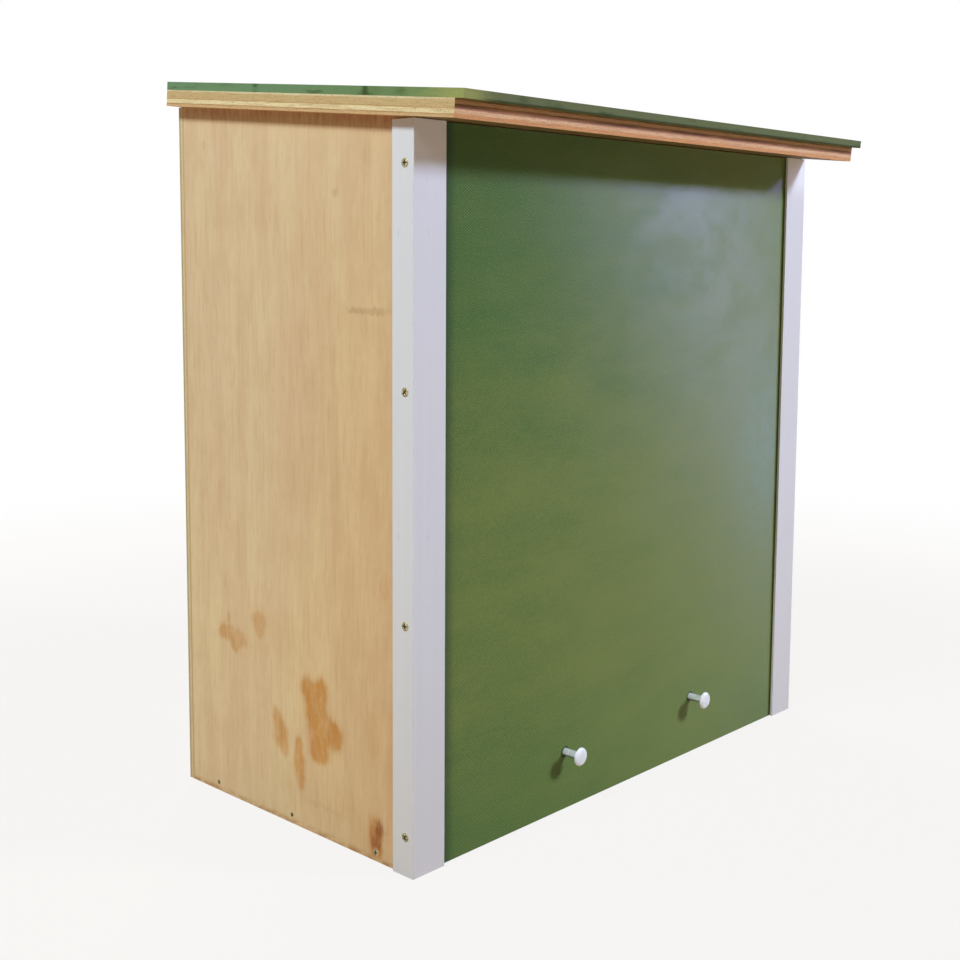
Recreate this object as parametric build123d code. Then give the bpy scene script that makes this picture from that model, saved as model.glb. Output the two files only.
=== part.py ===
from build123d import *
from math import cos, radians, sin, tan
import os

# Pine marten den box: a plywood box that hangs on the trunk of a tree, with a roof that falls to
# the front and a green front panel that slides down out of two white corner angles.
# Millimetres. X runs to the right, Y from the front to the back, Z up from the ground.
# The origin is on the underside of the box, in the middle of its footprint.

# Side walls, floor and back
body_width = 486.0            # across the outer faces of the side walls
wall_depth = 254.0            # front edge to rear edge of a side wall
wall_thickness = 12.0
wall_front_height = 510.0     # a side wall at its front edge
floor_thickness = 12.0
back_thickness = 6.0

# Entrances through the back, one at each side of the trunk
entrance_width = 80.0
entrance_height = 110.0
entrance_corner_radius = 25.0
entrance_sill_height = 270.0
entrance_side_margin = 16.0   # from the inner face of the side wall

# White corner angles, unequal legs
angle_front_leg = 30.0
angle_side_leg = 20.0
angle_thickness = 2.0
angle_corner_radius = 0.8
angle_top_gap = 0.5           # below the roof

# Front panel, and the battens that guide it from behind
panel_thickness = 6.0
panel_side_gap = 2.0
panel_front_gap = 1.0
panel_back_gap = 0.4
panel_top_gap = 1.0           # to the roof, at the panel's face
batten_width = 18.0
batten_depth = 18.0

# Two pulls on the front panel, drilled by eye, so each has a place of its own
left_pull_x = -81.0           # from the middle of the panel
left_pull_height = 45.0
right_pull_x = 85.0
right_pull_height = 49.0
pull_shank_diameter = 6.0
pull_shank_reach = 14.5       # from the face of the panel to the head
pull_head_diameter = 14.0
pull_head_thickness = 3.0
pull_head_rim = 1.2           # straight part of the head, under its dome
pull_hole_clearance = 0.3

# Roof board, and the green sheet on top of it
roof_pitch_degrees = 5.3
roof_board_thickness = 12.0
roof_front_overhang = 45.0
roof_left_overhang = 11.0     # past the outer face of the side wall
roof_right_overhang = 1.0
sheet_thickness = 6.0
sheet_front_lip = 7.0         # past the edge of the roof board
sheet_right_lip = 2.0

# Planes that the pieces share
pitch = radians(roof_pitch_degrees)
overall_depth = angle_thickness + wall_depth + back_thickness
angle_face_y = -overall_depth / 2
wall_front_y = angle_face_y + angle_thickness
wall_back_y = wall_front_y + wall_depth
back_face_y = wall_back_y + back_thickness
panel_front_y = wall_front_y + panel_front_gap
panel_back_y = panel_front_y + panel_thickness
guide_front_y = panel_back_y + panel_back_gap
outer_x = body_width / 2
inner_x = outer_x - wall_thickness
left_pull_place = (left_pull_x, left_pull_height)
right_pull_place = (right_pull_x, right_pull_height)


def roof_underside(y):
    """Height of the roof's underside at depth y."""
    return wall_front_height + (y - wall_front_y) * tan(pitch)


def upright(x_from, x_to, y_from, y_to, z_from):
    """A standing piece with its top cut to the pitch of the roof: a side outline carried along X."""
    outline = Polyline(
        (y_from, z_from),
        (y_to, z_from),
        (y_to, roof_underside(y_to)),
        (y_from, roof_underside(y_from)),
        close=True,
    )
    side = Plane.YZ.offset(x_from) * make_face(outline)
    return extrude(side, amount=x_to - x_from)


def facing_sheet(face_y, thickness, outline):
    """A sheet with its outline drawn in X and Z, from the plane y = face_y to the front."""
    return extrude(Plane.XZ.offset(-face_y) * outline, amount=thickness)


def side_wall():
    """The left side wall."""
    return upright(-outer_x, -inner_x, wall_front_y, wall_back_y, 0)


def guide_batten():
    """The left batten: it stands on the floor against the wall, behind the front panel."""
    return upright(-inner_x, batten_width - inner_x, guide_front_y, guide_front_y + batten_depth, floor_thickness)


def floor_panel():
    """The floor, between the side walls and flush with their lower edges."""
    depth = wall_back_y - guide_front_y
    outline = Pos(0, guide_front_y + depth / 2) * Rectangle(2 * inner_x, depth)
    return extrude(outline, amount=floor_thickness)


def back_panel():
    """The back, over the rear edges of the side walls, with its two entrances cut through."""
    height = roof_underside(wall_back_y)
    entrance_x = inner_x - entrance_side_margin - entrance_width / 2
    entrance_z = entrance_sill_height + entrance_height / 2
    outline = Pos(0, height / 2) * Rectangle(body_width, height)
    for x in (-entrance_x, entrance_x):
        outline -= Pos(x, entrance_z) * RectangleRounded(entrance_width, entrance_height, entrance_corner_radius)
    return facing_sheet(back_face_y, back_thickness, outline)


def corner_angle():
    """The left corner angle, round the front edge of the wall and over the edge of the panel."""
    corner_x = -outer_x - angle_thickness
    profile = Polyline(
        (corner_x, angle_face_y),
        (corner_x + angle_front_leg, angle_face_y),
        (corner_x + angle_front_leg, wall_front_y),
        (-outer_x, wall_front_y),
        (-outer_x, angle_face_y + angle_side_leg),
        (corner_x, angle_face_y + angle_side_leg),
        close=True,
    )
    section = make_face(profile)
    outer_corner = section.vertices().sort_by(Axis.X).group_by(Axis.Y)[0].sort_by(Axis.X)[0]
    section = fillet(outer_corner, radius=angle_corner_radius)
    return extrude(section, amount=roof_underside(angle_face_y) - angle_top_gap)


def front_panel():
    """The green front panel, between the side walls, with the holes for its two pulls."""
    width = 2 * (inner_x - panel_side_gap)
    height = roof_underside(panel_front_y) - panel_top_gap
    outline = Pos(0, height / 2) * Rectangle(width, height)
    for x, z in (left_pull_place, right_pull_place):
        outline -= Pos(x, z) * Circle(pull_shank_diameter / 2 + pull_hole_clearance)
    return facing_sheet(panel_back_y, panel_thickness, outline)


def pull(x, z):
    """A pull at x and z: a shank through the panel, flush behind it, and a low domed head, in one piece."""
    shank_radius = pull_shank_diameter / 2
    head_radius = pull_head_diameter / 2
    dome_foot = pull_shank_reach + pull_head_rim
    dome_top = pull_shank_reach + pull_head_thickness
    dome = TangentArc((0, dome_top), (head_radius, dome_foot), tangent=(1, 0))
    rest = Polyline(
        (head_radius, dome_foot),
        (head_radius, pull_shank_reach),
        (shank_radius, pull_shank_reach),
        (shank_radius, -panel_thickness),
        (0, -panel_thickness),
        (0, dome_top),
    )
    profile = Plane.XZ * make_face([dome, rest])
    turned = revolve(profile, axis=Axis.Z)
    outward = Plane(origin=(x, panel_front_y, z), x_dir=(1, 0, 0), z_dir=(0, -1, 0))
    return outward * turned


def roof_layer(height, thickness, front_lip, right_lip):
    """One layer of the roof, square to the slope, flush with the rest at the left and the back."""
    slope = Plane(
        origin=(0, angle_face_y, roof_underside(angle_face_y)),
        x_dir=(1, 0, 0),
        z_dir=(0, -sin(pitch), cos(pitch)),
    )
    left = -outer_x - roof_left_overhang
    right = outer_x + roof_right_overhang + right_lip
    front = -roof_front_overhang - front_lip
    back = overall_depth / cos(pitch)
    outline = Pos((left + right) / 2, (front + back) / 2) * Rectangle(right - left, back - front)
    return extrude(slope.offset(height) * outline, amount=thickness)


def other_side(piece):
    """The same piece on the right of the box."""
    return mirror(piece, about=Plane.YZ)


pieces = {
    "left_wall": side_wall(),
    "right_wall": other_side(side_wall()),
    "back_panel": back_panel(),
    "floor_panel": floor_panel(),
    "left_guide_batten": guide_batten(),
    "right_guide_batten": other_side(guide_batten()),
    "left_corner_angle": corner_angle(),
    "right_corner_angle": other_side(corner_angle()),
    "roof_board": roof_layer(0, roof_board_thickness, 0, 0),
    "roof_sheet": roof_layer(roof_board_thickness, sheet_thickness, sheet_front_lip, sheet_right_lip),
    "front_panel": front_panel(),
    "left_pull": pull(*left_pull_place),
    "right_pull": pull(*right_pull_place),
}

os.makedirs("parts", exist_ok=True)
for name, solid in pieces.items():
    export_step(solid, f"parts/{name}.step")
    size = solid.bounding_box().size
    print(f"{name}: {size.X:.1f} x {size.Y:.1f} x {size.Z:.1f} mm")
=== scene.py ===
# %% [markdown]
# A den box for pine martens, dressed from its solids.
#
# The real box is bare plywood with a green film-faced front, which slides down out of two white
# corner angles. Its solids arrive from the packed part at their real size, so this lesson gives each
# one its finish, makes the screws and the turned pulls as surfaces, and sets up camera and studio.
# Places are in metres, as Blender has them. Inside a finish they are in millimetres, which suits
# grain and mesh better, and MM turns the one into the other.

import math

import bpy
import numpy as np
from mathutils import Euler, Matrix, Vector


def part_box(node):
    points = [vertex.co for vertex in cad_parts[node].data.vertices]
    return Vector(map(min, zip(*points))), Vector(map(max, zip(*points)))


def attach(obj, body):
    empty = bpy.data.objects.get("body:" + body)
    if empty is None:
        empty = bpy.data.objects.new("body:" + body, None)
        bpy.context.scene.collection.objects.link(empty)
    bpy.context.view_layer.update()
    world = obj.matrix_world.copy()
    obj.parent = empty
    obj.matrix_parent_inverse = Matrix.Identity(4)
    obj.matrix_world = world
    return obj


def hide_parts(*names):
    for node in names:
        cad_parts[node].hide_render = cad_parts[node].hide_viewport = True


MM = 1000.0

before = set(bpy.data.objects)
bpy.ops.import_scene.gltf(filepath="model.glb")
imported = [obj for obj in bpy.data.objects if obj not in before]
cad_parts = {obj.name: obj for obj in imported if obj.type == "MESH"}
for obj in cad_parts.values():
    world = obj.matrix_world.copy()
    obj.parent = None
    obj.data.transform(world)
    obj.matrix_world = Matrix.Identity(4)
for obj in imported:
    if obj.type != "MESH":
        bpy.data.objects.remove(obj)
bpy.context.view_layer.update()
print("solids:", sorted(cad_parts))

# %% [markdown]
# The camera comes first, because every other choice is judged through it. It was found by fitting a
# pinhole camera to the straight edges of the box, so its place, and its angles in radians, are plain
# numbers. The focal length is in pixels of a frame 960 pixels wide, and the small shift puts the
# optical axis a little above the middle of the picture, where those edges put it.

# %% Camera
FRAME_PIXELS = 960
FOCAL_PIXELS = 1356.8
AXIS_PIXEL_ROW = 400
SENSOR_MM = 36
camera_place = (-0.8574, -0.7662, 0.4219)
camera_yaw, camera_pitch_down, camera_roll = -0.8165, 0.1062, 0.0057

camera = bpy.data.objects.new("camera", bpy.data.cameras.new("camera"))
bpy.context.collection.objects.link(camera)
camera.data.sensor_width = SENSOR_MM
camera.data.lens = SENSOR_MM * FOCAL_PIXELS / FRAME_PIXELS
camera.data.shift_y = (AXIS_PIXEL_ROW - FRAME_PIXELS / 2) / FRAME_PIXELS
aim = Euler((math.pi / 2 - camera_pitch_down, 0, camera_yaw)).to_matrix().to_4x4()
camera.matrix_world = Matrix.Translation(camera_place) @ aim @ Matrix.Rotation(camera_roll, 4, "Z")
bpy.context.scene.camera = camera
bpy.context.scene.view_settings.view_transform = "Standard"
print(f"camera: {camera.data.lens:.1f} mm lens, shift {camera.data.shift_y:.3f}")


# %% [markdown]
# Shader maths reads best as ordinary sums, so one small class wraps a socket and lets Python's own
# operators add the Math nodes. Their reflected forms make 1 - mask work as well as mask - 1. A Math
# node would turn a colour grey, so colours meet in mix, which adds a Mix node.

# %% Values
class Value:
    """A socket of a finish: sums, products and the like of values add Math nodes to that finish."""

    def __init__(self, finish, socket):
        self.finish, self.socket = finish, socket

    def math(self, operation, *terms):
        return self.finish.node("Math", {"operation": operation}, dict(enumerate(terms)))

    def __add__(self, other):
        return self.math("ADD", self, other)

    def __sub__(self, other):
        return self.math("SUBTRACT", self, other)

    def __rsub__(self, other):
        return self.math("SUBTRACT", other, self)

    def __mul__(self, other):
        return self.math("MULTIPLY", self, other)

    def __truediv__(self, other):
        return self.math("DIVIDE", self, other)

    def __pow__(self, other):
        return self.math("POWER", self, other)

    def __abs__(self):
        return self.math("ABSOLUTE", self)

    __radd__, __rmul__ = __add__, __mul__

    def larger(self, other):
        return self.math("MAXIMUM", self, other)

    def cosine(self):
        return self.math("COSINE", self)

    def exponent(self):
        return self.math("EXPONENT", self)

    def ramp(self, low, high, to_low=0.0, to_high=1.0):
        """A smooth step from to_low to to_high as the value goes from low to high."""
        sockets = {"Value": self, "From Min": low, "From Max": high, "To Min": to_low, "To Max": to_high}
        return self.finish.node("MapRange", {"interpolation_type": "SMOOTHSTEP"}, sockets)

    def mix(self, colour, other):
        """This share of the second colour over the first."""
        return self.finish.node("Mix", {"data_type": "RGBA"}, {0: self, 6: colour, 7: other}, out=2)


print("a value can:", ", ".join(name for name in vars(Value) if not name.startswith("_")))


# %% [markdown]
# A finish is a new material that hands out such values: the place on the piece, and one method that
# adds any other node by its type, its settings and its sockets. Patterns then follow the piece when
# it moves, because they read its own coordinates. What every finish needs has a short name of its
# own: noise with cells of a given size, the way a face looks, a tint, and relief.

# %% Finishes
X, Y, Z = 0, 1, 2


def set_stops(ramp, stops):
    """Gives a colour ramp its stops, as (position, colour) pairs."""
    for _ in stops[2:]:
        ramp.elements.new(1.0)
    for element, (position, colour) in zip(ramp.elements, stops):
        element.position, element.color = position, (*colour, 1.0)


class Finish:
    """A new procedural material; x, y and z are the piece's own coordinates in millimetres."""

    def __init__(self, name):
        self.material = bpy.data.materials.new(name)
        self.material.use_nodes = True
        self.tree = self.material.node_tree
        self.shader = self.tree.nodes["Principled BSDF"]
        place = self.node("TexCoord", out="Object")
        place = self.node("VectorMath", {"operation": "SCALE"}, {0: place, "Scale": MM})
        self.places = [self.node("SeparateXYZ", {}, {0: place}, out=axis) for axis in (X, Y, Z)]
        self.x, self.y, self.z = self.places

    def node(self, kind, settings=None, sockets=None, out=0):
        """Adds a node of a type: its settings first, then the values or links of its sockets."""
        node = self.tree.nodes.new("ShaderNode" + kind)
        for key, setting in (settings or {}).items():
            if key == "stops":
                set_stops(node.color_ramp, setting)
            else:
                setattr(node, key, setting)
        for key, value in (sockets or {}).items():
            self.feed(node.inputs[key], value)
        return Value(self, node.outputs[out])

    def feed(self, socket, value):
        """Links a value to a socket, or sets the socket to a number or a colour."""
        if isinstance(value, Value):
            self.tree.links.new(value.socket, socket)
        elif socket.type == "RGBA":
            socket.default_value = (*value, 1.0)
        else:
            socket.default_value = value

    def noise(self, places, cells, seed=0.0, detail=2.0, roughness=0.5):
        """Fractal noise about 0.5 with cells of the given sizes; two places leave the third to seed."""
        spots = [place / cell for place, cell in zip(places, cells)]
        vector = self.node("CombineXYZ", {}, dict(enumerate([*spots, seed][:3])))
        sockets = {"Vector": vector, "Scale": 1.0, "Detail": detail, "Roughness": roughness}
        return self.node("TexNoise", {}, sockets)

    def slope(self, axis):
        """How far the smooth surface faces along an axis: 1 is square on and -1 is square away."""
        normal = self.node("NewGeometry", out="Normal")
        return self.node("SeparateXYZ", {}, {0: normal}, out=axis)

    def facing(self, axis):
        """How squarely a face looks along an axis, either way: 1 is square on and 0 is edge on."""
        normal = self.node("NewGeometry", out="True Normal")
        return abs(self.node("SeparateXYZ", {}, {0: normal}, out=axis))

    def on_faces(self, axis):
        """1 on the faces that look along an axis and 0 on the others."""
        return self.facing(axis).ramp(0.6, 0.8)

    def tinted(self, colour, tint, share=1.0):
        """The colour multiplied by a share of a tint."""
        settings = {"data_type": "RGBA", "blend_type": "MULTIPLY"}
        return self.node("Mix", settings, {0: share, 6: colour, 7: tint}, out=2)

    def set(self, **sockets):
        """Sets the shader's sockets; an underscore stands for a space."""
        for key, value in sockets.items():
            self.feed(self.shader.inputs[key.replace("_", " ")], value)

    def relief(self, height_mm):
        """Bump from a height in millimetres."""
        self.set(Normal=self.node("Bump", {}, {"Height": height_mm, "Distance": 1 / MM}))


print("a finish can:", ", ".join(name for name in vars(Finish) if not name.startswith("_")))


# %% [markdown]
# Colours are written as on a paint card, 0 to 255 a channel, because that is how a colour is read off
# a picture. Shaders add up light instead, so one function turns the first into the second. A tint
# that multiplies a colour is a plain share of light and needs no turning.

# %% Colours
def swatch(red, green, blue):
    """A colour as a paint card has it, 0 to 255, turned into the linear light that shaders use."""
    share = np.array([red, green, blue]) / 255
    linear = np.where(share <= 0.04045, share / 12.92, ((share + 0.055) / 1.055) ** 2.4)
    return tuple(float(v) for v in linear)


def dress(finish, *nodes):
    """Gives solids a finish."""
    for name in nodes:
        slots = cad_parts[name].data.materials
        slots.clear()
        slots.append(finish.material)
    print(f"{finish.material.name}: {len(finish.tree.nodes)} shader nodes on {', '.join(nodes)}")


print("mid grey as linear light:", round(swatch(128, 128, 128)[0], 3))

# %% [markdown]
# A plain pale floor. It is matt, so it carries the soft shadow and throws a little warm light back
# up. The camera and reflections see mostly through it to a plain white world, and wholly so from a
# metre and a half away, so there is no line where the floor ends. It costs the object nothing,
# because light itself meets an ordinary floor. A see-through floor has one more use: the front slides
# down past the box's foot, as it does on a tree, and stays in sight when it is down.

# %% Floor
FLOOR_HALF = 12.0
CLEAR_SHARE_NEAR = 0.86
CLEAR_FROM_MM, CLEAR_TO_MM = 500.0, 1500.0
WARM_PALE = swatch(188, 164, 138)


def shown_rays(node):
    """1 for rays from the camera, in reflections and through glass, and 0 for light on a surface."""
    seen = node("LightPath", out="Is Camera Ray") + node("LightPath", out="Is Glossy Ray")
    return seen + node("LightPath", out="Is Transmission Ray")


floor_finish = Finish("studio_floor")
away = (floor_finish.x * floor_finish.x + floor_finish.y * floor_finish.y) ** 0.5
share = away.ramp(CLEAR_FROM_MM, CLEAR_TO_MM, CLEAR_SHARE_NEAR, 1.0) * shown_rays(floor_finish.node)
matt = floor_finish.node("BsdfDiffuse", {}, {"Color": WARM_PALE})
clear = floor_finish.node("BsdfTransparent")
floor_mix = floor_finish.node("MixShader", {}, {0: share, 1: matt, 2: clear})
floor_finish.feed(floor_finish.tree.nodes["Material Output"].inputs["Surface"], floor_mix)

corners = np.array([(-1, -1, 0), (1, -1, 0), (1, 1, 0), (-1, 1, 0)]) * FLOOR_HALF
floor_mesh = bpy.data.meshes.new("studio_floor")
floor_mesh.from_pydata(corners.tolist(), [], [(0, 1, 2, 3)])
floor_mesh.materials.append(floor_finish.material)
studio_floor = bpy.data.objects.new("studio_floor", floor_mesh)
bpy.context.collection.objects.link(studio_floor)
print("floor:", 2 * FLOOR_HALF, "m square, see-through from", CLEAR_TO_MM / MM, "m away")

# %% [markdown]
# The background is the world itself: plain white to the camera, in reflections and through glass, and
# a weak warm light to everything else. A white wall would do too, but it would light the box.

# %% Background
AMBIENT_COLOUR, AMBIENT_STRENGTH = (1.0, 0.73, 0.50), 0.17
PLAIN_WHITE = (1.0, 1.0, 1.0)

world = bpy.data.worlds.new("studio")
world.use_nodes = True
bpy.context.scene.world = world


class Sky(Finish):
    """The same helper on the world's nodes."""

    def __init__(self, tree):
        self.tree = tree


sky = Sky(world.node_tree)
ambient = sky.node("Background", {}, {"Color": AMBIENT_COLOUR, "Strength": AMBIENT_STRENGTH})
backdrop = sky.node("Background", {}, {"Color": PLAIN_WHITE, "Strength": 1.0})
sky_mix = sky.node("MixShader", {}, {0: shown_rays(sky.node), 1: ambient, 2: backdrop})
sky.feed(world.node_tree.nodes["World Output"].inputs["Surface"], sky_mix)
print("ambient light:", AMBIENT_STRENGTH)

# %% [markdown]
# Soft rectangular lamps do the rest. The main one stands in front on the right, high enough for the
# roof to shade the top of the front. A lamp on the left keeps the side wall as bright as the front,
# and one behind lights the sides that the camera does not see. The next is a card that only
# reflections see: it stands high on the right, where the green film mirrors the camera's line of
# sight, and puts a long sheen on it, with the roof's shade left dark. The main lamp is kept out of
# reflections, so that the film shows one sheen. Two small lamps below the floor light only the front
# when it is down. Each lamp is set by the direction that its light comes from, so shadows can be read
# straight off the box.

# %% Lamps
MIDDLE = Vector((0.0, 0.0, 0.28))
LOW_LAMPS = {"low_front_lamp": (0.35, -0.90, -0.62), "low_back_lamp": (-0.35, 0.90, -0.62)}


def lamp(name, toward, distance, size, level, colour):
    """An area lamp in the direction toward; on a white card that faces it, level 1 shows as white."""
    light = bpy.data.lights.new(name, "AREA")
    light.shape, light.color = "RECTANGLE", colour
    light.size, light.size_y = size
    light.energy = level * (math.pi * distance) ** 2
    lamp_object = bpy.data.objects.new(name, light)
    direction = Vector(toward).normalized()
    turn = direction.to_track_quat("Z", "Y").to_matrix().to_4x4()
    lamp_object.matrix_world = Matrix.Translation(MIDDLE + direction * distance) @ turn
    bpy.context.collection.objects.link(lamp_object)
    print(f"{name}: {light.energy:.1f} W, {size} m, {distance} m away")
    return lamp_object


main_lamp = lamp("main_lamp", (0.47, -0.75, 0.50), 4.0, (0.7, 0.7), 0.87, (0.70, 0.80, 1.0))
main_lamp.visible_glossy = False
lamp("left_lamp", (-0.76, -0.06, 0.66), 3.2, (0.55, 0.55), 0.77, (0.80, 0.93, 1.0))
lamp("back_lamp", (0.35, 0.80, 0.55), 2.4, (1.2, 1.2), 0.55, (0.96, 0.98, 1.0))
sheen_card = lamp("sheen_card", (0.748, -0.60, 0.40), 3.25, (0.12, 0.25), 0.95, (0.45, 0.43, 1.0))
sheen_card.visible_diffuse = False
for name, toward in LOW_LAMPS.items():
    low_lamp = lamp(name, toward, 1.6, (0.6, 0.6), 0.6, (0.80, 0.88, 1.0))
    low_lamp.visible_camera = low_lamp.visible_glossy = False

# %% [markdown]
# Plywood is a stack of veneers, and its face is one of them: fine straight grain with broad bands of
# warmer and cooler wood, narrow streaks, short dark pores and soft clouds. All of them are noise
# whose cells are pulled long along the grain. An image of wood would do as well, but a formula has no
# seams and stays sharp close up.

# %% Face veneer
FACE_PALE, FACE_PINK, FACE_DARK = swatch(224, 199, 158), swatch(217, 186, 149), swatch(190, 149, 101)
SWAY_MM = 9
STREAK_HEIGHT_MM, PORE_DEPTH_MM = 0.05, 0.06


def veneer_face(finish, across, along, seed):
    """The colour of a face veneer and its relief in mm: noise stretched along the grain."""
    swayed = across + finish.noise((across, along), (90, 260), seed, 1.0) * SWAY_MM
    bands = finish.noise((swayed, along), (19, 210), seed + 3, 3.0, 0.6).ramp(0.32, 0.68)
    streaks = finish.noise((swayed, along), (2.4, 46), seed + 7, 3.0, 0.65)
    pores = finish.noise((swayed, along), (0.6, 11), seed + 11, 2.0).ramp(0.56, 0.76)
    clouds = finish.noise((across, along), (18, 40), seed + 17, 4.0, 0.65).ramp(0.35, 0.7)
    colour = (bands * 0.9).mix(FACE_PALE, FACE_PINK)
    for share in (streaks.ramp(0.48, 0.78) * 0.36, pores * 0.30, clouds * 0.20):
        colour = share.mix(colour, FACE_DARK)
    return colour, streaks * STREAK_HEIGHT_MM - pores * PORE_DEPTH_MM


print("face veneer: pale", np.round(FACE_PALE, 2).tolist(), "dark", np.round(FACE_DARK, 2).tolist())

# %% [markdown]
# On its edges plywood shows the stack itself: flat bands of pale and brown wood, by their share of
# the way through the sheet. A colour ramp holds the bands, with two stops for each, and noise makes
# the bands wander, smudges them, and adds streaks and the open specks of end grain.

# %% Veneers on edge
SEAM_HALF_SHARE = 0.012
STREAK_BROWN, SPECK_BROWN = swatch(140, 100, 58), swatch(95, 62, 34)
PALE_VENEER, BROWN_VENEER = swatch(226, 208, 164), swatch(186, 155, 110)
TAN_VENEER, GREY_VENEER = swatch(204, 172, 126), swatch(180, 166, 128)


def band_stops(*bands):
    """Ramp stops for flat bands with narrow seams: (share at which a band ends, colour) pairs."""
    starts = [0.0, *[end for end, _ in bands]]
    return [(stop, colour) for start, (end, colour) in zip(starts, bands)
            for stop in (start + SEAM_HALF_SHARE, end - SEAM_HALF_SHARE)]


def veneer_stack(finish, depth_share, along, stops, seed, worn, unevenness=0.05):
    """The stack on edge: bands by depth, pushed about by noise along the edge, then worn and specked."""
    spot = (along, depth_share)
    wander = finish.noise(spot, (22, 1 / 2), seed, 3.0, 0.6) - 0.5
    bands = finish.node("ValToRGB", {"stops": stops}, {0: depth_share + wander * unevenness})
    streaks = finish.noise(spot, (14, 1 / 16), seed + 5, 3.0, 0.7).ramp(0.42, 0.75)
    specks = finish.noise(spot, (0.9, 1 / 9), seed + 9, 1.0).ramp(0.56, 0.74)
    smudges = finish.noise(spot, (46, 1 / 4), seed + 13, 4.0, 0.65).ramp(0.38, 0.66)
    colour = (smudges * 0.55).mix(bands, worn)
    colour = (streaks * 0.42).mix(colour, STREAK_BROWN)
    return (specks * 0.46).mix(colour, SPECK_BROWN)


WALL_STACK = band_stops((0.09, PALE_VENEER), (0.36, BROWN_VENEER), (0.64, PALE_VENEER),
                        (0.91, BROWN_VENEER), (1.0, TAN_VENEER))
THIN_STACK = band_stops((0.30, TAN_VENEER), (0.66, PALE_VENEER), (1.0, GREY_VENEER))
print("ramp stops: wall", len(WALL_STACK), "thin board", len(THIN_STACK))

# %% [markdown]
# A sheet of plywood is told which way its thickness runs. Where the surface looks that way it shows
# the face veneer, and elsewhere it shows the stack on edge, so one finish serves all six sides of a
# board and needs no seams to be marked by hand.

# %% Plywood
WOOD_ROUGHNESS, WOOD_SPECULAR = 0.62, 0.3


def plywood(name, through, across, along, faces_mm, stops, seed):
    """A finish for a sheet, and its colour. The sheet's thickness runs along the axis through, between
    its two faces, and the grain of its face veneer runs along the axis along."""
    finish = Finish(name)
    first, last = faces_mm
    face, grain = veneer_face(finish, finish.places[across], finish.places[along], seed)
    depth_share = (finish.places[through] - first) / (last - first)
    edge = veneer_stack(finish, depth_share, finish.places[along], stops, seed + 21, TAN_VENEER)
    on_face = finish.on_faces(through)
    finish.set(Roughness=WOOD_ROUGHNESS, Specular_IOR_Level=WOOD_SPECULAR)
    finish.relief(grain * on_face)
    return finish, on_face.mix(edge, face)


wall_inner_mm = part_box("right_wall")[0].x * MM
wall_outer_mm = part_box("right_wall")[1].x * MM
print(f"walls: {wall_outer_mm - wall_inner_mm:.1f} mm thick, {wall_inner_mm:.1f} mm off the middle")

# %% [markdown]
# The left wall has been wet: a few rusty brown stains have soaked into the grain near its foot, with
# a dark smear in the front corner and a dusty bar higher up. Each stain is a few ovals in a short
# table, in millimetres, and ovals that touch flow together as drops of water do. Painting the stains
# by hand would also work, but a table can be read and changed.

# %% Stains
RUST, GRIME, DUST = (0.80, 0.53, 0.25), (0.58, 0.42, 0.34), (0.80, 0.74, 0.70)
# share of the tint, then ovals: depth and height of the middle, half depth, half height
RUST_STAINS = (
    (1.00, ((-18, 108, 8.5, 10), (-33, 108, 8.5, 12), (-26, 92, 13, 12), (-30, 76, 13.5, 13),
            (-31, 62, 11, 9), (-50, 77, 9, 11), (-42, 84, 8, 9))),
    (0.86, ((-7.6, 61, 4.5, 9), (-8, 49, 6.8, 12), (-9.5, 36, 5.2, 8))),
    (0.80, ((17.5, 78, 5, 9), (13.5, 66, 9, 11), (8.5, 56, 5, 7))),
    (0.66, ((84, 130.5, 6, 6.5), (76.4, 142.9, 2.4, 5.5), (75.4, 131, 7, 6), (63.8, 128, 13, 8),
            (68.5, 120.6, 5, 3.6))),
    (0.55, ((38.5, 147, 10.5, 9), (38, 138, 5, 5))),
    (0.95, ((-91, 20, 8.5, 13), (-92, 8, 7, 6))),
    (0.20, ((-88.8, 90, 9, 20), (-101, 195, 5, 9), (-108, 70, 5, 60))),
)
GRIME_STAINS = ((1.00, ((-95, 24, 4.5, 8), (-91.6, 13.5, 6.5, 6))),)
DUST_STAINS = (
    (0.90, ((-94, 384.2, 16, 2.9), (-72, 384.6, 9, 2.1))),
    (0.60, ((-51.4, 464.4, 3.5, 3.1), (100.3, 503.5, 2.4, 4.6))),
    (0.30, ((-35, 22.5, 26, 2.5), (-97, 23, 14, 2))),
)
DROP_FALL, SOAKED_FROM = 1.6, 0.62


def stain_mask(y, z, groups):
    """How wet each point got. In a group, soft drops exp(-DROP_FALL e) are summed, e being the squared
    distance in ovals, so that neighbours flow together, and a sum of SOAKED_FROM is wet through."""
    mask = 0.0
    for share, ovals in groups:
        wet = 0.0
        for middle_y, middle_z, half_y, half_z in ovals:
            across, up = (y - middle_y) / half_y, (z - middle_z) / half_z
            wet = ((across * across + up * up) * -DROP_FALL).exponent() + wet
        mask = (wet.ramp(0.0, SOAKED_FROM) * share).larger(mask)
    return mask


print("rusty ovals:", sum(len(ovals) for _, ovals in RUST_STAINS))

# %% [markdown]
# The stained wall itself. Its wood has yellowed towards the front and bleached low down at the back,
# and it is painted warmer low down as a stand-in for the warm light that the floor throws up. The
# strip under the eaves is painted dark in streaks, as shade under the roof, and its lowest edge is
# dirty. Noise pushes the stains' edges about, more along the grain than across it, the way water
# creeps in wood. All of this multiplies the wood's colour, so that the grain stays visible, and only
# the outer face is marked.

# %% Stained wall
PITCH = math.radians(5.3)
AGED_AND_BOUNCE_TINT, BLEACHED = (0.97, 0.88, 0.74), (1.06, 1.08, 1.05)
EAVES_SHADE, FOOT_DIRT = (0.72, 0.54, 0.42), (0.66, 0.48, 0.32)
EAVES_MM, EAVES_FRONT_MM = 510, -129
EAVES_BAND_MM, FOOT_BAND_MM = 15, 6
CREEP_ACROSS_MM, CREEP_ALONG_MM = 7, 12

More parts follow.
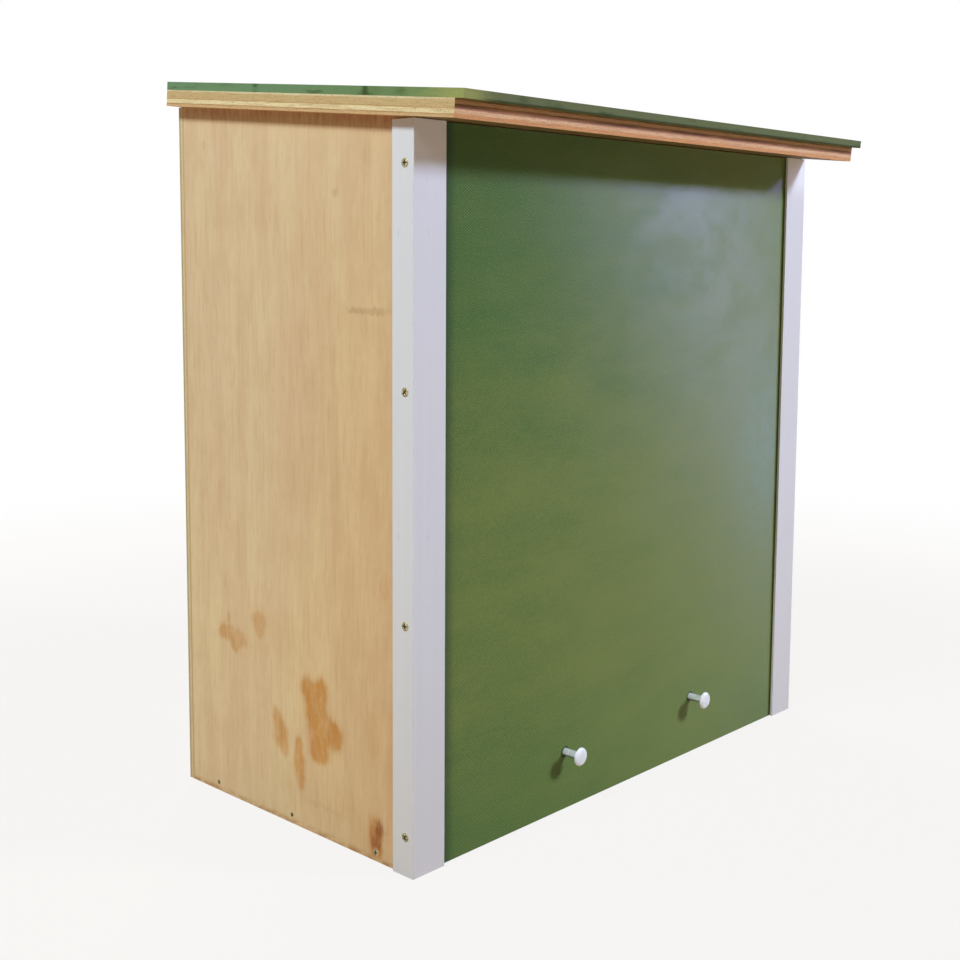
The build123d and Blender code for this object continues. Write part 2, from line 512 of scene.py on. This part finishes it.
left_faces_mm = (-wall_inner_mm, -wall_outer_mm)
left_wall, wood = plywood("stained_plywood", X, Y, Z, left_faces_mm, WALL_STACK, 2.0)
y, z = left_wall.y, left_wall.z
spot = (y, z)
outside = left_wall.x.ramp(-(wall_inner_mm + wall_outer_mm) / 2, -wall_outer_mm)

# painted light: the warmer tint low down stands in for warm light thrown up from the floor; towards the
# front it is the wood's own yellowing
aged_and_bounce = z.ramp(420, 40) * 0.14 + y.ramp(60, -110) * z.ramp(520, 320, 0.3, 0.7)
wood = left_wall.tinted(wood, AGED_AND_BOUNCE_TINT, aged_and_bounce * outside)
wood = left_wall.tinted(wood, BLEACHED, z.ramp(300, 120) * y.ramp(-100, 0) * outside)

# painted shade: the strip under the roof is darkened in streaks, as the roof's shadow on the wall
below_roof = EAVES_MM + (y - EAVES_FRONT_MM) * math.tan(PITCH) - z
eaves_shade_streaks = left_wall.noise(spot, (3.2, 18), 75.0, 3.0, 0.6).ramp(0.3, 0.65, 0.45, 1.0)
wood = left_wall.tinted(wood, EAVES_SHADE, below_roof.ramp(EAVES_BAND_MM, 1) * eaves_shade_streaks * outside)

crept_y = y + (left_wall.noise(spot, (9, 16), 40.0, 4.0, 0.65) - 0.5) * CREEP_ACROSS_MM
crept_z = z + (left_wall.noise(spot, (3.2, 50), 50.0, 4.0, 0.7) - 0.5) * CREEP_ALONG_MM
soaking = left_wall.noise(spot, (2.5, 26), 60.0, 4.0, 0.65).ramp(0.3, 0.7, 0.80, 1.05) * outside
soaking = left_wall.noise(spot, (11, 20), 65.0, 3.0, 0.6).ramp(0.3, 0.6, 0.62, 1.08) * soaking
for groups, tint in ((RUST_STAINS, RUST), (GRIME_STAINS, GRIME), (DUST_STAINS, DUST)):
    wood = left_wall.tinted(wood, tint, stain_mask(crept_y, crept_z, groups) * soaking)

smears = left_wall.noise(spot, (9, 4), 70.0, 4.0, 0.7).ramp(0.38, 0.62, 0.1, 1.0)
wood = left_wall.tinted(wood, FOOT_DIRT, z.ramp(FOOT_BAND_MM, 0) * smears * outside)
left_wall.set(Base_Color=wood)
dress(left_wall, "left_wall")

# %% [markdown]
# The other sheets of plywood are clean. The back and the floor repeat the wall's wood, each with its
# own grain direction and seed, so that no two sheets look cut from the same spot.

# %% Clean plywood
right_faces_mm = (wall_inner_mm, wall_outer_mm)
back_faces_mm = (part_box("back_panel")[0].y * MM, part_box("back_panel")[1].y * MM)
floor_faces_mm = (0.0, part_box("floor_panel")[1].z * MM)
# node, finish, axes through the sheet, across its grain and along it, faces, veneers, seed
CLEAN_SHEETS = (
    ("right_wall", "wall_plywood", (X, Y, Z), right_faces_mm, WALL_STACK, 31.0),
    ("back_panel", "back_plywood", (Y, X, Z), back_faces_mm, THIN_STACK, 53.0),
    ("floor_panel", "floor_plywood", (Z, Y, X), floor_faces_mm, WALL_STACK, 71.0),
)
for node, name, axes, faces_mm, stops, seed in CLEAN_SHEETS:
    sheet, wood = plywood(name, *axes, faces_mm, stops, seed)
    sheet.set(Base_Color=wood)
    dress(sheet, node)

# %% [markdown]
# The roof board is the same plywood laid to the slope, so its depth is measured square to the slope.
# Its stack shows well on the front and left edges: pale and brown veneers with dark seams on the
# left, and warmer, redder layers on the front, where the veneers turn their end grain out; the front's
# top band is painted dark as the shadow under the roof sheet's lip. Its underside is sheltered and
# still warm in colour, and painted dark as shade where it overhangs the front.

# %% Roof board
ROOF_MM = 12.0
SIDE_STACK = band_stops(
    (0.14, swatch(214, 176, 126)), (0.21, swatch(184, 142, 92)), (0.45, swatch(242, 224, 174)),
    (0.51, swatch(190, 152, 100)), (0.90, swatch(204, 176, 124)), (1.0, swatch(226, 214, 170)))
# the last band, at the top of the front edge, is painted dark as the shadow that the roof sheet's lip casts
FRONT_STACK_AND_LIP_SHADOW = band_stops(
    (0.10, swatch(224, 158, 88)), (0.24, swatch(222, 158, 92)), (0.44, swatch(235, 191, 142)),
    (0.52, swatch(182, 124, 80)), (0.72, swatch(112, 68, 26)), (0.90, swatch(208, 160, 116)),
    (1.0, swatch(104, 80, 40)))
RED_VENEER = swatch(204, 148, 96)
ROOF_UNEVENNESS = 0.12
SHELTERED, OVERHANG_SHADE = (0.98, 0.80, 0.58), (0.25, 0.23, 0.11)
UNSHADED_TO_MM, SHADED_FROM_MM = -126, -134

roof_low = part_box("roof_board")[0]
foot_y_mm, foot_z_mm = roof_low.y * MM + ROOF_MM * math.sin(PITCH), roof_low.z * MM


def slope_depth(finish):
    """The share of the way up through the roof board, square to its slope."""
    rise = (finish.z - foot_z_mm) * math.cos(PITCH) - (finish.y - foot_y_mm) * math.sin(PITCH)
    return rise / ROOF_MM


roof_board = Finish("roof_plywood")
x, y = roof_board.x, roof_board.y
face, grain = veneer_face(roof_board, y, x, 91.0)
face = roof_board.tinted(face, SHELTERED)
# painted shade: the underside is darkened where it overhangs the front
face = roof_board.tinted(face, OVERHANG_SHADE, y.ramp(UNSHADED_TO_MM, SHADED_FROM_MM))
depth_share = slope_depth(roof_board)
side = veneer_stack(roof_board, depth_share, y, SIDE_STACK, 97.0, TAN_VENEER, ROOF_UNEVENNESS)
front = veneer_stack(roof_board, depth_share, x, FRONT_STACK_AND_LIP_SHADOW, 103.0, RED_VENEER, ROOF_UNEVENNESS)
edge = roof_board.on_faces(X).mix(front, side)
on_face = roof_board.on_faces(Z)
roof_board.set(Base_Color=on_face.mix(edge, face))
roof_board.set(Roughness=WOOD_ROUGHNESS, Specular_IOR_Level=WOOD_SPECULAR)
roof_board.relief(grain * on_face)
dress(roof_board, "roof_board")

# %% [markdown]
# The front and the roof sheet are faced with a dark green film that has a fine mesh pressed into it.
# The product of an upright and a level wave is a field of small diamonds, set in staggered rows like
# the wires of a mesh. It lifts the surface by a hundredth of a millimetre, and it also shows faintly
# in the colour, because film wears paler on its high spots. Slow noise gives the olive clouds, and
# smaller noise the blotches, flecks and grain.

# %% Green film
MESH_ACROSS_MM, MESH_UP_MM = 2.8, 1.9
MESH_HEIGHT_MM, BLOTCH_HEIGHT_MM, SWELL_HEIGHT_MM = 0.012, 0.04, 0.3
FILM_DEEP, FILM_FADED = swatch(48, 91, 38), swatch(107, 123, 60)
FILM_OLIVE, FILM_WORN = swatch(115, 123, 58), swatch(138, 158, 100)


def mesh_film(finish, across, up, fade_and_shade, olive):
    """The film's colour and its relief in mm: a wave across times a wave up, over slow clouds."""
    spot = (across, up)
    mesh = (across * (2 * math.pi / MESH_ACROSS_MM)).cosine() * (up * (2 * math.pi / MESH_UP_MM)).cosine()
    clouds = finish.noise(spot, (110, 34), 3.0, 3.0, 0.6) - 0.5
    blotches = finish.noise(spot, (16, 9), 5.0, 3.0, 0.6) - 0.5
    flecks = finish.noise(spot, (3.6, 3.6), 25.0, 2.0, 0.6) - 0.5
    grain = finish.noise(spot, (1.3, 1.3), 35.0, 1.0).ramp(0.4, 0.75)
    swell = finish.noise(spot, (60, 80), 15.0, 2.0)
    colour = (fade_and_shade + clouds * 0.8).ramp(-0.1, 1.1).mix(FILM_DEEP, FILM_FADED)
    patches = olive + clouds * 0.4 + blotches * 0.4 + flecks * 0.5
    colour = patches.ramp(0.0, 0.9).mix(colour, FILM_OLIVE)
    colour = (mesh.ramp(-0.8, 0.8) * 0.36 + grain * 0.18).mix(colour, FILM_WORN)
    return colour, mesh * MESH_HEIGHT_MM + blotches * BLOTCH_HEIGHT_MM + swell * SWELL_HEIGHT_MM


print(f"film: diamonds {MESH_ACROSS_MM} mm wide and {MESH_UP_MM} mm high")

# %% [markdown]
# The sliding front has faded to the right and downwards. Along its left edge, which the angle shades,
# it is painted deep and dark as shade. A dark ring round each pull is painted shade for the gap round
# its hole, and a faint grey patch at the right is a painted reflection of the long sheen. Its gloss is
# anisotropic, as on anything that is brushed one way: the sheen is drawn out into a long upright veil,
# and rougher patches break it up.

# %% Front panel
PULLS = {name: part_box(name) for name in ("left_pull", "right_pull")}
PAINTED_SHEEN, GROOVE_SHADE, HOLE_SHADE = swatch(120, 145, 114), swatch(40, 58, 44), swatch(24, 32, 18)
PANEL_EDGE = swatch(150, 122, 84)
SHEEN_X_MM, SHEEN_Z_MM, SHEEN_HALF_X_MM, SHEEN_HALF_Z_MM = 194, 256, 44, 78
RIM_OUTER_MM, RIM_INNER_MM = 5.5, 3.4
GROOVE_FROM_MM, GROOVE_TO_MM = -201, -213
BRUSHED_TURN = 0.290
FILM_SPECULAR = 0.1

green_panel = Finish("green_film_panel")
x, z = green_panel.x, green_panel.z
spot = (x, z)
# the first term keeps the film deep at its left edge, as painted shade where the angle shades it
fade_and_edge_shade = x.ramp(-218, -190) * 0.2 + x.ramp(-200, 200) * 0.68 + z.ramp(460, 120) * 0.22
fade_and_edge_shade = fade_and_edge_shade - x.ramp(100, 215) * z.ramp(90, 0) * 0.35
olive = z.ramp(460, 220) * z.ramp(20, 110) * 0.45
film, mesh_height = mesh_film(green_panel, x, z, fade_and_edge_shade, olive)

# painted shade: a dark ring round each pull, for the gap round its hole
hole_shade = 0.0
for low, high in PULLS.values():
    middle_mm = (low + high) / 2 * MM
    across, up = x - middle_mm.x, z - middle_mm.z
    hole_shade = ((across * across + up * up) ** 0.5).ramp(RIM_OUTER_MM, RIM_INNER_MM).larger(hole_shade)
film = (hole_shade * 0.75).mix(film, HOLE_SHADE)

# painted reflection: a mottled grey-blue patch of sheen at the right
across, up = (x - SHEEN_X_MM) / SHEEN_HALF_X_MM, (z - SHEEN_Z_MM) / SHEEN_HALF_Z_MM
mottle = green_panel.noise(spot, (16, 16), 45.0, 4.0, 0.7).ramp(0.3, 0.6, 0.5, 1.1)
sheen_patch = ((across * across + up * up) * -1).exponent() * mottle
film = (sheen_patch * 0.7).mix(film, PAINTED_SHEEN)
# painted shade along the left edge, beside the angle
film = (x.ramp(GROOVE_FROM_MM, GROOVE_TO_MM) * 0.6).mix(film, GROOVE_SHADE)

rubbed = green_panel.noise(spot, (52, 40), 9.0, 5.0, 0.66)
green_panel.set(Base_Color=green_panel.on_faces(Y).mix(PANEL_EDGE, film))
green_panel.set(Roughness=rubbed.ramp(0.36, 0.64, 0.355, 0.475), Specular_IOR_Level=FILM_SPECULAR)
green_panel.set(Anisotropic=1.0, Anisotropic_Rotation=BRUSHED_TURN)
green_panel.relief(mesh_height)
dress(green_panel, "front_panel")

# %% [markdown]
# The roof sheet's edges are brushed over with a lighter green paint, thin enough to show the wood at
# the front corner and to leave a few dark knots uncovered. A dark line of painted shade runs along the
# front, where the sheet meets the board. Brush strokes are one noise, which the paint, the knots and
# the relief all share, so that they agree.

# %% Roof sheet
PAINT_REAR, PAINT_SIDE, PAINT_FRONT = swatch(111, 143, 105), swatch(112, 137, 91), swatch(109, 118, 83)
PAINT_THIN, PAINT_DARK = swatch(156, 160, 98), swatch(66, 84, 46)
KNOT, SEAM_SHADE = swatch(48, 66, 34), swatch(40, 48, 28)
KNOT_DEPTHS_MM, KNOT_HALF_MM = (21, -95), 5
STROKE_HEIGHT_MM = 0.3

roof_sheet = Finish("green_roof_sheet")
x, y = roof_sheet.x, roof_sheet.y
film, mesh_height = mesh_film(roof_sheet, x, y, 0.5, 0.2)
depth_share = slope_depth(roof_sheet)
strokes = roof_sheet.noise((x + y, depth_share), (26, 1 / 2), 2.0, 3.0, 0.6)
side_paint = y.ramp(60, -150).mix(PAINT_REAR, PAINT_SIDE)
for knot_y in KNOT_DEPTHS_MM:
    knot = abs(y - knot_y).ramp(KNOT_HALF_MM, 0) * strokes.ramp(0.3, 0.55)
    side_paint = (knot * 0.8).mix(side_paint, KNOT)
paint = roof_sheet.on_faces(X).mix(PAINT_FRONT, side_paint)
paint = (strokes.ramp(0.5, 0.75) * 0.7).mix(paint, PAINT_DARK)
# painted shade: a dark line along the foot of the sheet's front edge
seam_shade = depth_share.ramp(1.16, 1.02) * roof_sheet.facing(Y)
paint = (seam_shade * 0.8).mix(paint, SEAM_SHADE)
corner = y.ramp(-120, -180) * x.ramp(-220, -250)
paint = (corner * strokes.ramp(0.25, 0.6)).mix(paint, PAINT_THIN)
on_film = roof_sheet.on_faces(Z)
roof_sheet.set(Base_Color=on_film.mix(paint, film), Roughness=0.62, Specular_IOR_Level=0.02)
roof_sheet.relief(mesh_height * on_film + strokes * (1 - on_film) * STROKE_HEIGHT_MM)
dress(roof_sheet, "roof_sheet")

# %% [markdown]
# The corner angles are extruded white plastic, satin and nearly clean. What keeps them from looking
# like plain white is slight: drawing lines along their length and a few grey scuffs. Low down they are
# painted warmer and darker, as a stand-in for the warm light from the floor, and the top of the front
# is painted whiter, as painted light where the roof's shadow falls.

# %% White angles
ANGLE_WHITE, ANGLE_PAINTED_LIGHT = swatch(222, 222, 226), swatch(246, 246, 250)
ANGLE_LINE, ANGLE_SCUFF, ANGLE_BOUNCE_TINT = swatch(190, 190, 194), swatch(164, 160, 154), swatch(206, 198, 190)
LINE_HEIGHT_MM = 0.02

white_angle = Finish("white_plastic_angle")
x, y, z = white_angle.places
lines = white_angle.noise((x + y, z), (1.1, 400), 4.0, 2.0)
scuffs = white_angle.noise((x + y, z), (5, 16), 8.0, 4.0, 0.7).ramp(0.60, 0.80)
colour = (lines.ramp(0.35, 0.7) * 0.10).mix(ANGLE_WHITE, ANGLE_LINE)
colour = (scuffs * 0.20).mix(colour, ANGLE_SCUFF)
# painted light: warmer and darker low down, for the warm light from the floor
colour = (z.ramp(260, 0) * 0.30).mix(colour, ANGLE_BOUNCE_TINT)
# painted light: the front's top is whitened where the roof's shadow falls
colour = (z.ramp(470, 492) * white_angle.facing(Y)).mix(colour, ANGLE_PAINTED_LIGHT)
white_angle.set(Base_Color=colour, Roughness=scuffs.ramp(0.0, 1.0, 0.46, 0.60), Specular_IOR_Level=0.25)
white_angle.relief(lines * LINE_HEIGHT_MM)
dress(white_angle, "left_corner_angle", "right_corner_angle")

# %% [markdown]
# The guide battens behind the front are sawn softwood: yearly rings as long stripes, and saw marks
# across them. The marks are a wave up the batten, and noise bends it, because no saw runs true.

# %% Guide battens
SOFTWOOD_PALE, SOFTWOOD_RING = swatch(222, 194, 148), swatch(186, 142, 90)
RING_MM, RING_SLANT_SHARE = 2.4, 2.4 / 3.1
SAW_PITCH_MM = 3.4
SAW_HEIGHT_MM, RING_HEIGHT_MM = 0.03, 0.05

batten = Finish("sawn_softwood")
x, y, z = batten.places
rings = batten.noise((x + y * RING_SLANT_SHARE, z), (RING_MM, 240), 6.0, 3.0, 0.6).ramp(0.35, 0.70)
saw = (z * (2 * math.pi / SAW_PITCH_MM) + batten.noise((x, z), (6, 9), 2.0) * 5).cosine()
batten.set(Base_Color=(rings * 0.7).mix(SOFTWOOD_PALE, SOFTWOOD_RING), Roughness=0.7)
batten.relief(saw * SAW_HEIGHT_MM + rings * RING_HEIGHT_MM)
dress(batten, "left_guide_batten", "right_guide_batten")

# %% [markdown]
# Turned and pressed pieces share one maker: rows of points run round an axis, from a pole at the back
# to a pole at the front. The rows come in as one array, the faces are worked out from their indices,
# and both poles close with a fan of triangles, so the surface has no open edge.

# %% Closed surfaces of rings
def ring_faces(rows, columns, first):
    """Faces of a surface of rings: quads from row to row, and fans to the two poles after the rings."""
    index = first + np.arange(rows * columns).reshape(rows, columns)
    ahead = np.roll(index, -1, axis=1)
    quads = np.stack([index[:-1], ahead[:-1], ahead[1:], index[1:]], axis=-1).reshape(-1, 4)
    back_pole = np.full(columns, first + rows * columns)
    back_fan = np.stack([ahead[0], index[0], back_pole], axis=-1)
    front_fan = np.stack([index[-1], ahead[-1], back_pole + 1], axis=-1)
    return quads.tolist() + back_fan.tolist() + front_fan.tolist()


def ring_piece(name, bodies, finish, body):
    """One mesh of several bodies: each is an array (rows, columns, 3) of points and its two poles."""
    points, faces = [], []
    for rings, poles in bodies:
        faces += ring_faces(*rings.shape[:2], sum(len(p) for p in points))
        points.append(np.concatenate([rings.reshape(-1, 3), poles]))
    mesh = bpy.data.meshes.new(name)
    mesh.from_pydata(np.concatenate(points).tolist(), [], faces)
    mesh.polygons.foreach_set("use_smooth", np.ones(len(faces), dtype=bool))
    mesh.materials.append(finish.material)
    piece = bpy.data.objects.new(name, mesh)
    bpy.context.collection.objects.link(piece)
    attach(piece, body)
    print(f"{name}: {len(faces)} faces")
    return piece


print("a ring of 4 points and 2 rows has", len(ring_faces(2, 4, 0)), "faces")


# %% [markdown]
# Such a surface is made upright and then carried to its place. The turn is a matrix of three axes:
# the third points out of the surface that the piece sits on, and the other two are square to it.

# %% Turning to a surface
def axes_for(outward, spin):
    """A turn matrix: its third column points outward, and the others are turned by spin about it."""
    third = np.array(outward) / np.linalg.norm(outward)
    guide = np.array([0.0, 0.0, 1.0]) if abs(third[2]) < 0.9 else np.array([0.0, 1.0, 0.0])
    first = np.cross(guide, third)
    first /= np.linalg.norm(first)
    second = np.cross(third, first)
    return np.stack([math.cos(spin) * first + math.sin(spin) * second,
                     math.cos(spin) * second - math.sin(spin) * first, third], axis=1)


print("axes to the front:", np.round(axes_for((0, -1, 0), 0.0), 3).tolist())

# %% [markdown]
# The two pulls are turned and zinc plated: a bright shank with a low domed head. The profile of the
# real thing has small rounded edges that catch the light, and a profile spun round its axis is all
# that a lathe makes. The plating is hardly metallic any more, because it has dulled to a pale grey.
# The underside of the shank is painted dark and greenish, as shade and as a painted reflection of the
# green film.

# %% Pulls
SHANK_RADIUS, HEAD_RADIUS = 0.003, 0.007
HEAD_FOOT, HEAD_RIM, HEAD_TOP = 0.0145, 0.0157, 0.0175
SHANK_END = -0.006
ROUND = 0.0004
PULL_COLUMNS, DOME_ROWS = 64, 8
ZINC_GREY, ZINC_PALE, ZINC_PAINTED_SHADE = swatch(226, 232, 240), swatch(240, 239, 243), swatch(70, 88, 82)


def pull_surface(low, high):
    """A profile of (radius, height above the panel) pairs, carried round the axis of the pull."""
    dome = np.linspace(0.0, math.pi / 2, DOME_ROWS, endpoint=False)
    dome_radius = (HEAD_RADIUS - ROUND) * np.cos(dome)
    dome_height = HEAD_RIM + (HEAD_TOP - HEAD_RIM) * np.sin(dome)
    radius = np.array([SHANK_RADIUS - ROUND, SHANK_RADIUS, SHANK_RADIUS, SHANK_RADIUS, SHANK_RADIUS + ROUND,
                       HEAD_RADIUS - ROUND, HEAD_RADIUS, HEAD_RADIUS, *dome_radius])[:, None]
    height = np.array([SHANK_END, SHANK_END + ROUND, 0.0, HEAD_FOOT - ROUND, HEAD_FOOT,
                       HEAD_FOOT, HEAD_FOOT + ROUND, HEAD_RIM - ROUND, *dome_height])[:, None]
    turn = np.linspace(0, 2 * math.pi, PULL_COLUMNS, endpoint=False)
    rings = np.stack([radius * np.cos(turn), radius * np.sin(turn), height + 0 * turn], axis=-1)
    poles = np.array([(0, 0, SHANK_END), (0, 0, HEAD_TOP)])
    place = np.array([(low.x + high.x) / 2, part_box("front_panel")[0].y, (low.z + high.z) / 2])
    axes = axes_for((0, -1, 0), 0.0)
    return rings @ axes.T + place, poles @ axes.T + place


zinc = Finish("bright_zinc")
handled = zinc.noise(zinc.places, (6, 6, 6), detail=3.0, roughness=0.6)
plating = handled.ramp(0.3, 0.7).mix(ZINC_GREY, ZINC_PALE)
behind_head = zinc.y - (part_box("front_panel")[0].y - HEAD_FOOT) * MM
on_shank = behind_head.ramp(-ROUND * MM, ROUND * MM)
# painted shade and reflection: the shank's underside is darkened towards green
underside = zinc.slope(Z).ramp(0.05, -0.5) * zinc.slope(Z).ramp(-0.98, -0.8)
plating = (underside * on_shank * 0.85).mix(plating, ZINC_PAINTED_SHADE)
zinc.set(Base_Color=plating, Metallic=0.1, Roughness=handled.ramp(0.3, 0.7, 0.20, 0.30))
for name, (low, high) in PULLS.items():
    pull = ring_piece(name + "_turned", [pull_surface(low, high)], zinc, "sliding_front")
    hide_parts(name)

# %% [markdown]
# The screws are countersunk ones with a cross recess. A head is a low dome on a polar grid, and the
# recess is pressed into it by the same formula: near either arm of the cross the height falls,
# deepest in the middle. The depth is kept as an attribute, so that the finish can be dark down
# there. One head is made once and carried to all its places by matrix products.

# %% Screw heads
HEAD_COLUMNS, HEAD_ROWS = 48, 12
ARM_HALF_SHARE, ARM_REACH_SHARE, RECESS_SHARE, RIM_SHARE = 0.18, 0.74, 0.88, 0.3
ARM_SIDE_SHARE, ARM_END_SHARE = 0.35, 0.5
HEAD_FOOT_DEPTH = 0.0012
SPIN_STEP = 2.4


def screw_head(radius, proud):
    """Height over a disc: a rim plus a dome (1 - share squared), cut down where a point is near an arm."""
    turn = np.linspace(0, 2 * math.pi, HEAD_COLUMNS, endpoint=False)
    share = np.linspace(1.0, 0.0, HEAD_ROWS, endpoint=False)[:, None]
    across, up = share * np.cos(turn), share * np.sin(turn)
    near, far = np.minimum(np.abs(across), np.abs(up)), np.maximum(np.abs(across), np.abs(up))
    arm = np.clip((1 - near / ARM_HALF_SHARE) / ARM_SIDE_SHARE, 0, 1)
    arm = arm * np.clip((1 - far / ARM_REACH_SHARE) / ARM_END_SHARE, 0, 1)
    dome = RIM_SHARE + (1 - RIM_SHARE) * (1 - share ** 2)
    top = np.stack([radius * across, radius * up, proud * dome * (1 - RECESS_SHARE * arm)], axis=-1)
    foot = top[:1] * (1, 1, 0) - (0, 0, HEAD_FOOT_DEPTH)
    poles = np.array([(0, 0, -HEAD_FOOT_DEPTH), (0, 0, proud * (1 - RECESS_SHARE))])
    depth_marks = np.concatenate([np.zeros(HEAD_COLUMNS), arm.ravel(), [0, 1]])
    return np.concatenate([foot, top]), poles, depth_marks


def screws(name, places, outward, radius, proud, finish, dirt=0.0):
    """Heads at places, all facing outward, each turned a different amount; dirt darkens the whole head."""
    rings, poles, depth_marks = screw_head(radius, proud)
    axes = [axes_for(outward, SPIN_STEP * i) for i in range(len(places))]
    heads = [(rings @ a.T + p, poles @ a.T + p) for a, p in zip(axes, np.array(places))]
    piece = ring_piece(name, heads, finish, "den_box")
    recess = piece.data.attributes.new("recess", "FLOAT", "POINT")
    recess.data.foreach_set("value", np.tile(np.maximum(depth_marks, dirt), len(places)))


print("points in a screw head:", sum(len(a.reshape(-1, 3)) for a in screw_head(1.0, 1.0)[:2]))

# %% [markdown]
# The screws are yellow plated, and tarnished in spots. Four hold each corner angle to its wall. Three
# more go through the wall's foot into the floor: the rear two are small and dirty, and the front one
# is larger and clean, so they are pieces of their own.

# %% Wall screws
YELLOW, TARNISHED, RECESS_DARK = swatch(198, 188, 148), swatch(126, 110, 74), swatch(54, 38, 18)
ANGLE_SCREW_HEIGHTS, ANGLE_SCREW_DEPTH = (0.4812, 0.3322, 0.1747, 0.0277), -0.1232
FLOOR_SCREW_DEPTHS, FLOOR_SCREW_HEIGHT = (0.092, 0.001, -0.0915), 0.0065
# radius of a head, and how far it stands proud
ANGLE_SCREW, REAR_FLOOR_SCREW, FRONT_FLOOR_SCREW = (0.0031, 0.0009), (0.0016, 0.0003), (0.0026, 0.0005)
REAR_FLOOR_DIRT = 0.35

yellow_zinc = Finish("yellow_zinc")
tarnish = yellow_zinc.noise(yellow_zinc.places, (1.4, 1.4, 1.4), detail=3.0, roughness=0.6).ramp(0.35, 0.65)
recess = yellow_zinc.node("Attribute", {"attribute_name": "recess"}, out="Fac").ramp(0.05, 0.6)
plating = tarnish.mix(YELLOW, TARNISHED)
# the recess is darker in colour, on top of its modelled depth
yellow_zinc.set(Base_Color=recess.mix(plating, RECESS_DARK), Metallic=0.6 - recess * 0.6)
yellow_zinc.set(Roughness=tarnish.ramp(0.0, 1.0, 0.36, 0.58) + recess * 0.3, Specular_IOR_Level=0.2)

angle_x, wall_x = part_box("right_corner_angle")[1].x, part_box("right_wall")[1].x
for word, sign in (("left", -1), ("right", 1)):
    outward = (sign, 0, 0)
    angle_places = [(sign * angle_x, ANGLE_SCREW_DEPTH, z) for z in ANGLE_SCREW_HEIGHTS]
    rear_one, rear_two, front_one = [(sign * wall_x, y, FLOOR_SCREW_HEIGHT) for y in FLOOR_SCREW_DEPTHS]
    screws(word + "_angle_screws", angle_places, outward, *ANGLE_SCREW, yellow_zinc)
    screws(word + "_floor_screws", [rear_one, rear_two], outward, *REAR_FLOOR_SCREW, yellow_zinc,
           REAR_FLOOR_DIRT)
    screws(word + "_front_floor_screw", [front_one], outward, *FRONT_FLOOR_SCREW, yellow_zinc)

# %% [markdown]
# The back board and the roof are screwed on too, round their edges into the walls and the floor. The
# roof's screws are set square to its slope, so their places follow the slope's rise.

# %% Back and roof screws
EDGE_INSET = 0.006
BACK_SCREW_HEIGHTS, BACK_FOOT_SCREWS = (0.05, 0.19, 0.33, 0.47), (-0.15, 0.0, 0.15)
ROOF_SCREW_DEPTHS = (-0.10, 0.0, 0.10)
BACK_SCREW, ROOF_SCREW = (0.0032, 0.0002), (0.0036, 0.0006)

back_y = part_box("back_panel")[1].y
edge_x = wall_x - EDGE_INSET
back_places = [(sign * edge_x, back_y, z) for sign in (-1, 1) for z in BACK_SCREW_HEIGHTS]
back_places += [(x, back_y, EDGE_INSET) for x in BACK_FOOT_SCREWS]
screws("back_screws", back_places, (0, 1, 0), *BACK_SCREW, yellow_zinc)

sheet_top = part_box("roof_sheet")[1]
slope_out = (0, -math.sin(PITCH), math.cos(PITCH))
roof_places = [(sign * edge_x, y, sheet_top.z + (y - sheet_top.y) * math.tan(PITCH))
               for sign in (-1, 1) for y in ROOF_SCREW_DEPTHS]
screws("roof_screws", roof_places, slope_out, *ROOF_SCREW, yellow_zinc)
